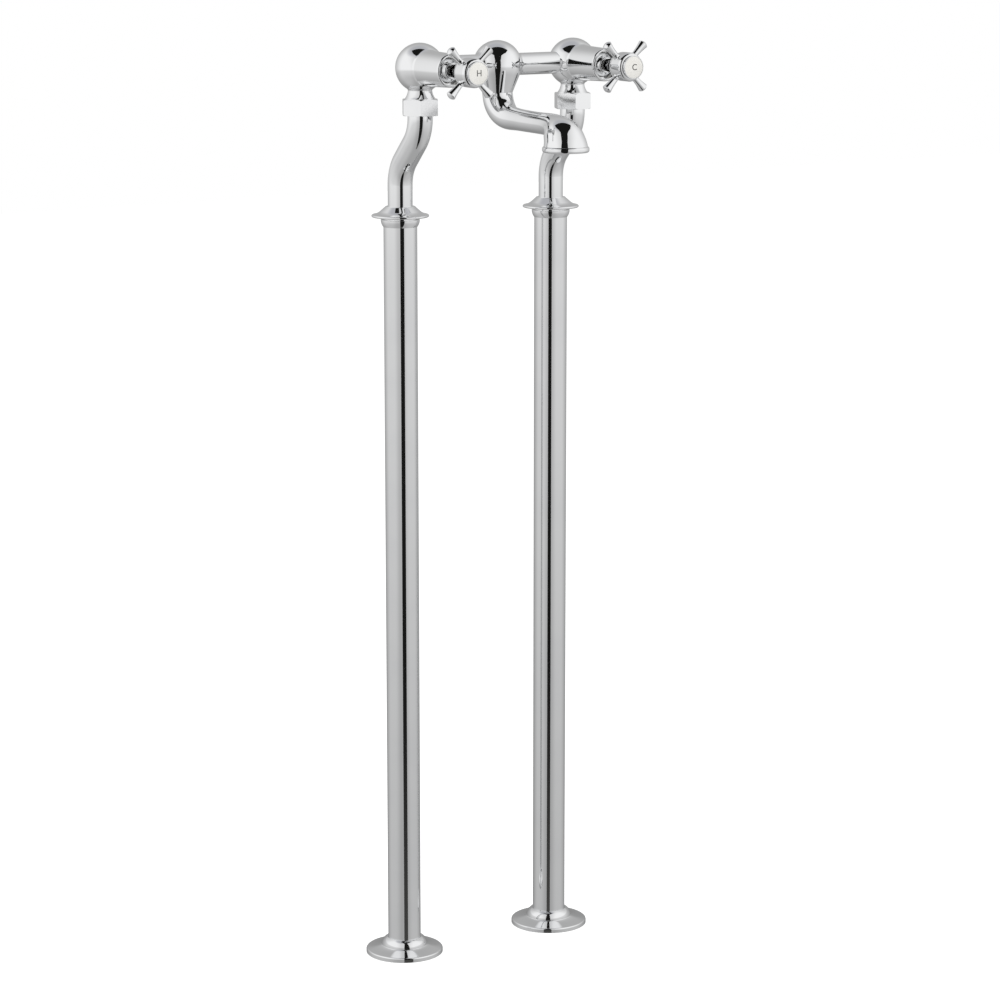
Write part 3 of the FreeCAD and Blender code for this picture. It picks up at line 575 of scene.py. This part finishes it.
def makeNut(side, c, turn):
    x, y = side * layout["pipeX"], layout["castingY"]
    foot, top, height = c["foot"], c["top"], c["top"] - c["foot"]
    corner = c["flats"] / 2 / math.cos(math.pi / 6)
    flat, fall = corner - c["chamfer"], c["chamfer"] * c["chamferFall"]
    bpy.ops.object.select_all(action="DESELECT")
    bpy.ops.mesh.primitive_cylinder_add(vertices=6, radius=corner * mm, depth=(height + c["spare"]) * mm,
                                        location=(x * mm, y * mm, (foot + height / 2) * mm),
                                        rotation=(0, 0, math.radians(turn)))
    nut = bpy.context.object
    nut.name = "unionNut"
    bpy.ops.object.transform_apply(location=True, rotation=True, scale=True)
    blank = lathe("nutBlank", [
        (c["bore"], foot), (flat, foot), (corner + c["clear"], foot + fall),
        (corner + c["clear"], top - fall), (flat, top), (c["thread"], top),
        (c["thread"], foot + c["web"]), (c["bore"], foot + c["web"]),
    ], upright(x, y))
    carve(nut, blank, "INTERSECT")
    applyModifier(nut, "BEVEL", {"width": c["edgeRound"] * mm, "segments": c["edgeSteps"],
                                 "limit_method": "ANGLE", "angle_limit": math.radians(c["edgeAngle"])})
    smoothOff(nut, c["sharp"])
    return nut


for name, side in sides:
    finishPiece(makeCrank(side, crank), "chrome", "stand", name + "_crank_tube")
    nut = makeNut(side, unionNut, unionNut["turns"][name])
    finishPiece(nut, "chrome", "stand", name + "_union_nut", finish="nutChrome")
print("cranked tubes and unions made")


# casting

ballR = 24.4
neck = {"radius": 12, "waist": 22.5, "foot": 883.2, "threadR": 15.1, "flareFoot": 891.8, "flare": 0.3}
housing = {
    "rear": 18.2, "front": 16.4, "reach": 61, "edge": 1.8, "edgeArc": (0.3, 0.9), "fillet": 5, "sink": 1.5,
    "recess": 14, "recessRound": 0.3, "floor": 48, "bore": 10.5,
    "seat": 13, "chamberR": 13.2, "chamberEnd": 40,
}
pear = {
    "foot": 27, "footR": 15.3, "footRound": 0.35,
    "armR": 11, "armFillet": 7, "armStart": 10, "armSink": 2, "armEnd": 73.98,
}


def ballTop(z):
    half = math.sqrt(0.5) * ballR
    return (half, z + half, 0, z + ballR)


def makeBallAndNeck(side, c):
    z = layout["castingZ"]
    radius, waist = c["radius"], z - c["waist"]
    # the arc that leads from the neck's waist out to the ball and touches both
    blend = (radius ** 2 + c["waist"] ** 2 - ballR ** 2) / (2 * (ballR - radius))
    centre = Vector((radius + blend, -c["waist"]))
    toBall = -centre.normalized()
    middle = centre + (toBall + Vector((-1, 0))).normalized() * blend
    touch = centre + toBall * blend
    shell = lathe("ballAndNeck", [
        (0, c["foot"]), (c["threadR"], c["foot"]), (c["threadR"], c["flareFoot"]),
        (between(radius, c["threadR"], c["flare"]), between(c["flareFoot"], waist), radius, waist),
        (middle.x, z + middle.y, touch.x, z + touch.y), ballTop(z),
    ], upright(side * layout["pipeX"], layout["castingY"]), "casting")
    seat, chamberR, chamberEnd = housing["seat"], housing["chamberR"], housing["chamberEnd"]
    chamber = lathe("chamber", [(0, seat), (chamberR, seat), (chamberR, chamberEnd), (0, chamberEnd)],
                    valveLine(side))
    carve(shell, chamber, "DIFFERENCE")
    smoothOff(shell)
    return shell


def makeHousing(side, c):
    slope = (c["rear"] - c["front"]) / c["reach"]
    # where a ball of the fillet's radius rests on both the big ball and the cone
    k = c["rear"] + c["fillet"] * math.hypot(1, slope)
    reach = ballR + c["fillet"]
    a, b, d = 1 + slope ** 2, -2 * k * slope, k ** 2 - reach ** 2
    along = (-b + math.sqrt(b * b - 4 * a * d)) / (2 * a)
    centre = Vector((k - slope * along, along))
    onBall = centre * (ballR / reach)
    toCone = Vector((-1, -slope)).normalized()
    middle = centre + (toCone - centre.normalized()).normalized() * c["fillet"]
    onCone = centre + toCone * c["fillet"]
    mouthR, front, edge, arc = c["front"], c["reach"], c["edge"], c["edgeArc"]
    return lathe("valveHousing", [
        (c["bore"], c["seat"]), (onBall.x - c["sink"], onBall.y - c["sink"]), tuple(onBall),
        (*middle, *onCone), (mouthR, front - edge),
        (mouthR - arc[0] * edge, front - arc[0] * edge, mouthR - arc[1] * edge, front),
        (c["recess"], front, c["recessRound"]), (c["recess"], c["floor"]), (c["bore"], c["floor"]),
    ], valveLine(side), "casting")


def makeMiddleCasting(c):
    y, z = layout["castingY"], layout["castingZ"]
    foot, footR, armR, fillet = c["foot"], c["footR"], c["armR"], c["armFillet"]
    touch = math.atan2(foot, footR) - math.acos(ballR / math.hypot(foot, footR))
    parts = [lathe("middleBall", [
        (0, z - foot), (footR, z - foot, c["footRound"]),
        (ballR * math.cos(touch), z - ballR * math.sin(touch)), ballTop(z),
    ], upright(0, y), "casting")]
    reach, off = ballR + fillet, armR + fillet
    centre = Vector((off, math.sqrt(reach ** 2 - off ** 2)))
    onBall = centre * (ballR / reach)
    middle = centre + (Vector((-1, 0)) - centre.normalized()).normalized() * fillet
    for way in (-1, 1):
        parts.append(lathe("arm", [
            (0, c["armStart"]), (onBall.x - c["armSink"], onBall.y - c["armSink"]), tuple(onBall),
            (*middle, armR, centre.y), (armR, c["armEnd"]), (0, c["armEnd"]),
        ], (Vector((0, y, z)), Vector((way, 0, 0)), Vector((0, -1, 0))), "casting"))
    return joinUp(parts, "middleCasting")


for name, side in sides:
    body = joinUp([makeBallAndNeck(side, neck), makeHousing(side, housing)], "valveBody")
    finishPiece(body, "chrome", "stand", name + "_valve_body")
finishPiece(makeMiddleCasting(pear), "chrome", "stand", "filler_body")
print("castings made")


# spout

spout = {
    "joint": 895, "axis": 869, "fall": 1.5, "bend": 27, "neckR": 15.3, "tubeR": 10.5, "reach": 125,
    # the elbow: degrees round it, share of the neck's radius
    "elbow": ((15, 0.995), (30, 0.985), (45, 0.95), (60, 0.9), (75, 0.83), (90, 0.77)),
    # the level tube: share of the reach, share of the fall, share of the tube's radius
    "level": ((0.31, 0.65, 1.03), (0.43, 0.3, 1.02), (0.62, 0, 1)),
    # the bell: back from the outlet's middle, down from the axis, degrees turned down, radius
    "bell": (
        (27.0, 0, 0, 11.0), (18.1, 1.1, 30, 13.1), (7.9, 4.1, 55, 18.4), (2.4, 12.3, 75, 20.0),
        (0.6, 16.4, 85, 21.15), (0, 19.8, 90, 21.6),
    ),
    "around": 64, "smoothing": 2, "wall": 2, "sharp": 40,
    "bellR": 21.6, "mouth": 19.6, "mouthRound": 0.3,
    "rimBottom": 844, "rimHeight": 5.6, "rimR": 23, "rimFoot": 1.2, "rimBulge": (0.3, 0.5),
    "rimShoulder": (0.4, 0.9), "rimSink": 0.05,
}


def spoutStations(c):
    # each ring of the spout: distance forward, height, degrees turned down, radius
    joint, rear = c["joint"], c["axis"] + c["fall"]
    stations = [(0, joint, 90, c["neckR"])]
    for turn, taper in c["elbow"]:
        a = math.radians(turn)
        stations.append((c["bend"] * (1 - math.cos(a)), joint - (joint - rear) * math.sin(a),
                         90 - turn, taper * c["neckR"]))
    for share, fall, width in c["level"]:
        stations.append((share * c["reach"], c["axis"] + fall * c["fall"], 0, width * c["tubeR"]))
    for back, down, turn, radius in c["bell"]:
        stations.append((c["reach"] - back, c["axis"] - down, turn, radius))
    return stations


def makeSpout(c):
    stations = spoutStations(c)
    y = layout["castingY"]
    tube = startRing(c["around"], c["neckR"], (0, y, c["joint"]))
    for before, after in zip(stations, stations[1:]):
        middle = (0, (y - after[0]) * mm, after[1] * mm)
        wider = after[3] / before[3]
        pullEdges((0, (before[0] - after[0]) * mm, (after[1] - before[1]) * mm))
        bpy.ops.transform.rotate(value=math.radians(before[2] - after[2]), orient_axis="X",
                                 center_override=middle)
        bpy.ops.transform.resize(value=(wider, wider, wider), center_override=middle)
    closeUp()
    bpy.ops.object.transform_apply(location=True, rotation=False, scale=False)
    applyModifier(tube, "SUBSURF", {"levels": c["smoothing"], "render_levels": c["smoothing"]})
    applyModifier(tube, "SOLIDIFY", {"thickness": c["wall"] * mm, "offset": -1})
    smoothOff(tube, c["sharp"])
    rimR, low, high = c["rimR"], c["rimBottom"], c["rimBottom"] + c["rimHeight"]
    rim = lathe("spoutRim", [
        (c["mouth"], low, c["mouthRound"]), (rimR - c["rimFoot"], low),
        (rimR, between(low, high, c["rimBulge"][0]), rimR, between(low, high, c["rimBulge"][1])),
        (rimR - c["rimShoulder"][0], high - c["rimShoulder"][1], c["bellR"] - c["rimSink"], high),
        (c["mouth"], high),
    ], upright(0, layout["spoutY"]), "rim")
    return joinUp([tube, rim], "bellSpout")


finishPiece(makeSpout(spout), "chrome", "stand", "spout")
print("spout made")


# valves and handles: their lengths are measured forward from the middle of the casting

bonnet = {
    "low": 51, "front": 62, "bore": 4.9, "boreRound": 0.2, "sleeve": 6.45, "sleeveEnd": 59.3,
    "outer": 12.2, "bulge": 11.7, "step": 9.6, "waist": 8.2, "nose": 7.6, "noseRound": 0.6,
    "levels": (0.18, 0.4, 0.55, 0.65, 0.77, 0.85),      # shares of the way from low to front
}
crosshead = {
    "rear": 64, "rearRound": 0.6, "stem": 4.55, "sleeve": 6.5, "sleeveEnd": 72,
    "hub": 14.3, "swell": 91, "hollow": (0.9, 0.6), "bulge": (1.1, 0.4),      # the hub widens in an S
    "front": 106.2, "edge": 3.6, "edgeMiddle": 0.3,
    "pocket": 9.95, "pocketRound": 0.25, "pocketFloor": 99.5,
    "armsAt": 94, "armTurns": (45, 135, 225, 315), "armStart": 11.5, "armRoot": 3.0,
    "armFoot": 1.2, "footMiddle": (0.25, 0.35), "footEnd": 1.6,
    "flareMiddle": (0.35, 0.45), "armTip": 4.8, "tipStart": 30.4, "span": 32.8,
}
index = {
    "stem": 9.9, "bore": 8.6, "foot": 99.9, "bezel": 11.6, "back": 107.4, "backRound": 0.15,
    "front": 109.8, "frontRound": 0.45, "innerRound": 0.1, "gap": 0.05,
    "disc": 10.7, "seat": 107.9, "edge": 109.6, "chamfer": 0.15, "crown": 110.9,
    "letters": {"hot": "H", "cold": "C"}, "letter": 8.5, "letterSink": 0.12, "letterDepth": 0.16,
}


def makeBonnet(side, c):
    low, front = c["low"], c["front"]
    outerEnd, bulge, step, stepEnd, waist, nose = (between(low, front, share) for share in c["levels"])
    return lathe("valveBonnet", [
        (c["sleeve"], low), (c["outer"], low), (c["outer"], outerEnd),
        (c["bulge"], bulge, c["step"], step), (c["step"], stepEnd),
        (c["waist"], waist), (c["nose"], nose), (c["nose"], front, c["noseRound"]),
        (c["bore"], front, c["boreRound"]), (c["bore"], c["sleeveEnd"]), (c["sleeve"], c["sleeveEnd"]),
    ], valveLine(side))


def makeCrosshead(side, c):
    sleeve, sleeveEnd, hub = c["sleeve"], c["sleeveEnd"], c["hub"]
    swellR, swell = between(sleeve, hub), between(sleeveEnd, c["swell"])
    front, edge = c["front"], c["edge"]
    cut = c["edgeMiddle"] * edge
    parts = [lathe("hub", [
        (c["stem"], c["rear"]), (sleeve, c["rear"], c["rearRound"]), (sleeve, sleeveEnd),
        (sleeve + c["hollow"][0], between(sleeveEnd, swell) + c["hollow"][1], swellR, swell),
        (hub - c["bulge"][0], between(swell, c["swell"]) - c["bulge"][1], hub, c["swell"]),
        (hub, front - edge), (hub - cut, front - cut, hub - edge, front),
        (c["pocket"], front, c["pocketRound"]), (c["pocket"], c["pocketFloor"]),
        (c["stem"], c["pocketFloor"]),
    ], valveLine(side), "hub")]
    centre, along = valveLine(side)[:2]
    root, tip, tipStart = c["armRoot"], c["armTip"], c["tipStart"]
    for turn in c["armTurns"]:
        a = math.radians(turn)
        parts.append(lathe("arm", [
            (0, c["armStart"]), (root + c["armFoot"], hub - c["armFoot"]),
            (root + c["footMiddle"][0], hub + c["footMiddle"][1], root, hub + c["footEnd"]),
            (root + c["flareMiddle"][0], between(hub, tipStart, c["flareMiddle"][1]), tip, tipStart),
            domeStep(tip, tipStart, c["span"]),
        ], (centre + along * c["armsAt"], Vector((math.cos(a), 0, math.sin(a))), along), "arm"))
    return joinUp(parts, "crosshead")


def makeBezel(side, c):
    inner = c["disc"] + c["gap"]
    return lathe("indexBezel", [
        (c["bore"], c["foot"]), (c["stem"], c["foot"]), (c["stem"], c["back"]),
        (c["bezel"], c["back"], c["backRound"]), (c["bezel"], c["front"], c["frontRound"]),
        (inner, c["front"], c["innerRound"]), (inner, c["seat"]), (c["bore"], c["seat"]),
    ], valveLine(side))


def makeIndexDisc(side, c):
    disc, edge, chamfer = c["disc"], c["edge"], c["chamfer"]
    return lathe("indexDisc", [
        (0, c["seat"]), (disc, c["seat"]), (disc, edge - chamfer), (disc - chamfer, edge),
        domeStep(disc - chamfer, edge, c["crown"]),
    ], valveLine(side), "disc")


def makeLetter(side, c, letter):
    centre, along = valveLine(side)[:2]
    spot = centre + along * (c["crown"] - c["letterSink"])
    bpy.ops.object.select_all(action="DESELECT")
    bpy.ops.object.text_add(location=spot * mm, rotation=(math.radians(90), 0, 0))
    mark = bpy.context.object
    mark.data.body = letter
    mark.data.size = c["letter"] * mm
    mark.data.align_x = "CENTER"
    mark.data.align_y = "CENTER"
    mark.data.extrude = c["letterDepth"] * mm
    bpy.ops.object.convert(target="MESH")
    mark = bpy.context.object
    bpy.ops.object.transform_apply(location=True, rotation=True, scale=True)
    bpy.ops.object.mode_set(mode="EDIT")
    closeUp()
    mark.name = "indexLetter"
    return mark


for name, side in sides:
    body = name + "_handle"
    finishPiece(makeBonnet(side, bonnet), "chrome", "stand", name + "_valve_bonnet")
    finishPiece(makeCrosshead(side, crosshead), "chrome", body, name + "_crosshead")
    finishPiece(makeBezel(side, index), "chrome", body, name + "_index_bezel")
    finishPiece(makeIndexDisc(side, index), "porcelain", body, name + "_index_disc")
    finishPiece(makeLetter(side, index, index["letters"][name]), "rubber", body, finish="enamel")
print("valves and handles made")


# studio, in metres

studio = {
    "facing": 32,           # degrees from straight in front of the filler round to the camera's side
    "camera": (-1.729, -2.797, 1.117), "aim": (0.0282, 0, 0.4693), "lens": 116.44,
    "sensor": 36.0, "farthest": 60,
    "room": 0.62,           # strength of the even light, of which the camera sees 1
    "lamps": (("keyPanel", (-2.2, -1.6, 2.4), 1.6, 42), ("fillPanel", (2.2, -2.0, 1.8), 1.8, 26)),
    "lampAim": (0, -0.05, 0.6),
}
floorLook = {
    "size": 14, "drop": 0.0004, "tone": (0.93, 0.93, 0.93), "shade": (0.90, 0.90, 0.90),
    "noise": (3, 3), "tint": 0.3, "glow": 0.5,
}
darkGap = {
    "shift": 0.04, "width": 0.22, "foot": -1.6,
    # distance in front of the filler, height, width
    "rows": ((0.5, 1.12, 0.23), (0.5, 1.45, 0.40), (0.22, 1.45, 0.70), (0.0, 1.45, 0.72)),
    "tone": (1, 1, 0.95), "dark": 0.01, "lowGlow": 0.09, "lowRange": (-0.45, 0.2),
}
lightTent = {
    "radius": 1.8, "middle": 0.6, "faces": (64, 32),
    "walls": 0.55, "lowRise": (-0.6, 0.05), "lowGain": 0.2, "midRise": (-0.06, 0.12), "midGain": 0.25,
    "ahead": 0.74, "sideRange": (0.2, 0.75), "sideGain": 0.26,
    "backRange": (0.0, 0.9), "backLoss": 0.38,
    "roof": 0.52, "roofRange": (0.8, 0.97), "roofLean": 0.1,
    "tone": (1, 1, 1), "roofTone": (0.94, 0.95, 1.0),
}


def makeFloor(c):
    bpy.ops.object.select_all(action="DESELECT")
    bpy.ops.mesh.primitive_plane_add(size=c["size"], location=(0, 0, -c["drop"]))
    floor = bpy.context.object
    floor.name = "studioFloor"
    finish, make = freshTree("paleFloor")
    rays = make.node("ShaderNodeLightPath", output="Is Camera Ray")
    mirror = make.node("ShaderNodeLightPath", output="Is Glossy Ray")
    cloud = noiseAt(make, objectPlace(make), *c["noise"])
    tone = mixTones(make, cloud * c["tint"], c["tone"], c["shade"])
    matt = make.node("ShaderNodeBsdfDiffuse", {}, {"Color": tone})
    glow = glowFrom(make, (1, 1, 1, 1), rays * c["glow"])
    lit = make.node("ShaderNodeAddShader", {}, {0: matt, 1: glow})
    # the chrome looks through the floor at the lower half of the tent
    through = make.node("ShaderNodeBsdfTransparent")
    surface = make.node("ShaderNodeMixShader", {}, {0: mirror, 1: lit, 2: through})
    make.node("ShaderNodeOutputMaterial", {}, {"Surface": surface})
    floor.data.materials.append(finish)


def towardsCamera():
    a = math.radians(studio["facing"])
    return Vector((-math.sin(a), -math.cos(a), 0)), Vector((math.cos(a), -math.sin(a), 0))


def seenInChromeOnly(thing, finish):
    thing.data.materials.append(finish)
    finish.cycles.emission_sampling = "NONE"
    thing.visible_camera = False
    thing.visible_diffuse = False
    thing.visible_shadow = False
    thing.visible_transmission = False


def makeDarkGap(c):
    # the dark opening in the tent, in front of the filler and over it
    front, right = towardsCamera()
    ahead = c["rows"][0][0]
    corner = front * ahead + right * (c["shift"] - c["width"] / 2) + Vector((0, 0, c["foot"]))
    gap = startPoint("darkGap", corner)
    pullPoint(right * c["width"])
    bpy.ops.mesh.select_all(action="SELECT")
    before = (ahead, c["foot"], c["width"])
    for row in c["rows"]:
        middle = front * row[0] + right * c["shift"] + Vector((0, 0, row[1]))
        wider = row[2] / before[2]
        pullEdges(front * (row[0] - before[0]) + Vector((0, 0, row[1] - before[1])))
        bpy.ops.transform.resize(value=(wider, wider, wider), center_override=middle)
        before = row
    bpy.ops.object.mode_set(mode="OBJECT")
    finish, make = freshTree("darkGapBlack")
    height = splitPlace(make)[2]
    dark = c["dark"] + (1 - softStep(height, *c["lowRange"])) * c["lowGlow"]
    make.node("ShaderNodeOutputMaterial", {}, {"Surface": glowFrom(make, (*c["tone"], 1), dark)})
    seenInChromeOnly(gap, finish)


def makeTent(c):
    # the pale tent in the chrome is bright from the valves up
    # and greyer low down, behind, dead ahead and overhead
    radius = c["radius"]
    segments, rings = c["faces"]
    bpy.ops.object.select_all(action="DESELECT")
    bpy.ops.mesh.primitive_uv_sphere_add(segments=segments, ring_count=rings, radius=radius,
                                         location=(0, 0, c["middle"]))
    tent = bpy.context.object
    tent.name = "lightTent"
    bpy.ops.object.transform_apply(location=True, rotation=False, scale=False)
    finish, make = freshTree("lightTent")
    x, y, z = splitPlace(make)
    front, aside = towardsCamera()
    ahead = x * (front.x / radius) + y * (front.y / radius)
    right = x * (aside.x / radius) + y * (aside.y / radius)
    rise = z * (1 / radius) - c["middle"] / radius
    walls = c["walls"] + softStep(rise, *c["lowRise"]) * c["lowGain"]
    walls = walls + softStep(rise, *c["midRise"]) * c["midGain"]
    outward = c["ahead"] + softStep(right.maths("ABSOLUTE", right), *c["sideRange"]) * c["sideGain"]
    behind = 1 - softStep(0 - ahead, *c["backRange"]) * c["backLoss"]
    over = softStep(rise - right * c["roofLean"], *c["roofRange"])
    glow = walls * outward * behind * (1 - over) + over * c["roof"]
    light = glowFrom(make, mixTones(make, over, c["tone"], c["roofTone"]), glow)
    make.node("ShaderNodeOutputMaterial", {}, {"Surface": light})
    seenInChromeOnly(tent, finish)


def whiteRoom(c):
    # white to the camera, an even soft light on everything else
    world = bpy.data.worlds.new("whiteRoom")
    bpy.context.scene.world = world
    world.use_nodes = True
    world.node_tree.nodes.clear()
    make = Signal(world.node_tree)
    seen = make.node("ShaderNodeLightPath", output="Is Camera Ray")
    strength = c["room"] + seen * (1 - c["room"])
    back = make.node("ShaderNodeBackground", {}, {"Color": (1, 1, 1, 1), "Strength": strength})
    make.node("ShaderNodeOutputWorld", {}, {"Surface": back})


def aimAt(thing, spot):
    thing.rotation_euler = (Vector(spot) - thing.location).to_track_quat("-Z", "Y").to_euler()


def softLight(name, spot, size, watts):
    bpy.ops.object.select_all(action="DESELECT")
    bpy.ops.object.light_add(type="AREA", location=spot)
    lamp = bpy.context.object
    lamp.name = name
    lamp.data.size = size
    lamp.data.energy = watts
    aimAt(lamp, studio["lampAim"])
    lamp.visible_glossy = False
    lamp.visible_camera = False


def placeCamera(c):
    bpy.ops.object.camera_add(location=c["camera"])
    camera = bpy.context.object
    camera.name = "shopCamera"
    camera.data.lens = c["lens"]
    camera.data.sensor_width = c["sensor"]
    camera.data.clip_end = c["farthest"]
    aimAt(camera, c["aim"])
    bpy.context.scene.camera = camera


makeFloor(floorLook)
makeDarkGap(darkGap)
makeTent(lightTent)
whiteRoom(studio)
for name, spot, size, watts in studio["lamps"]:
    softLight(name, spot, size, watts)
placeCamera(studio)
bpy.context.scene.view_settings.view_transform = "Standard"
print("studio ready")
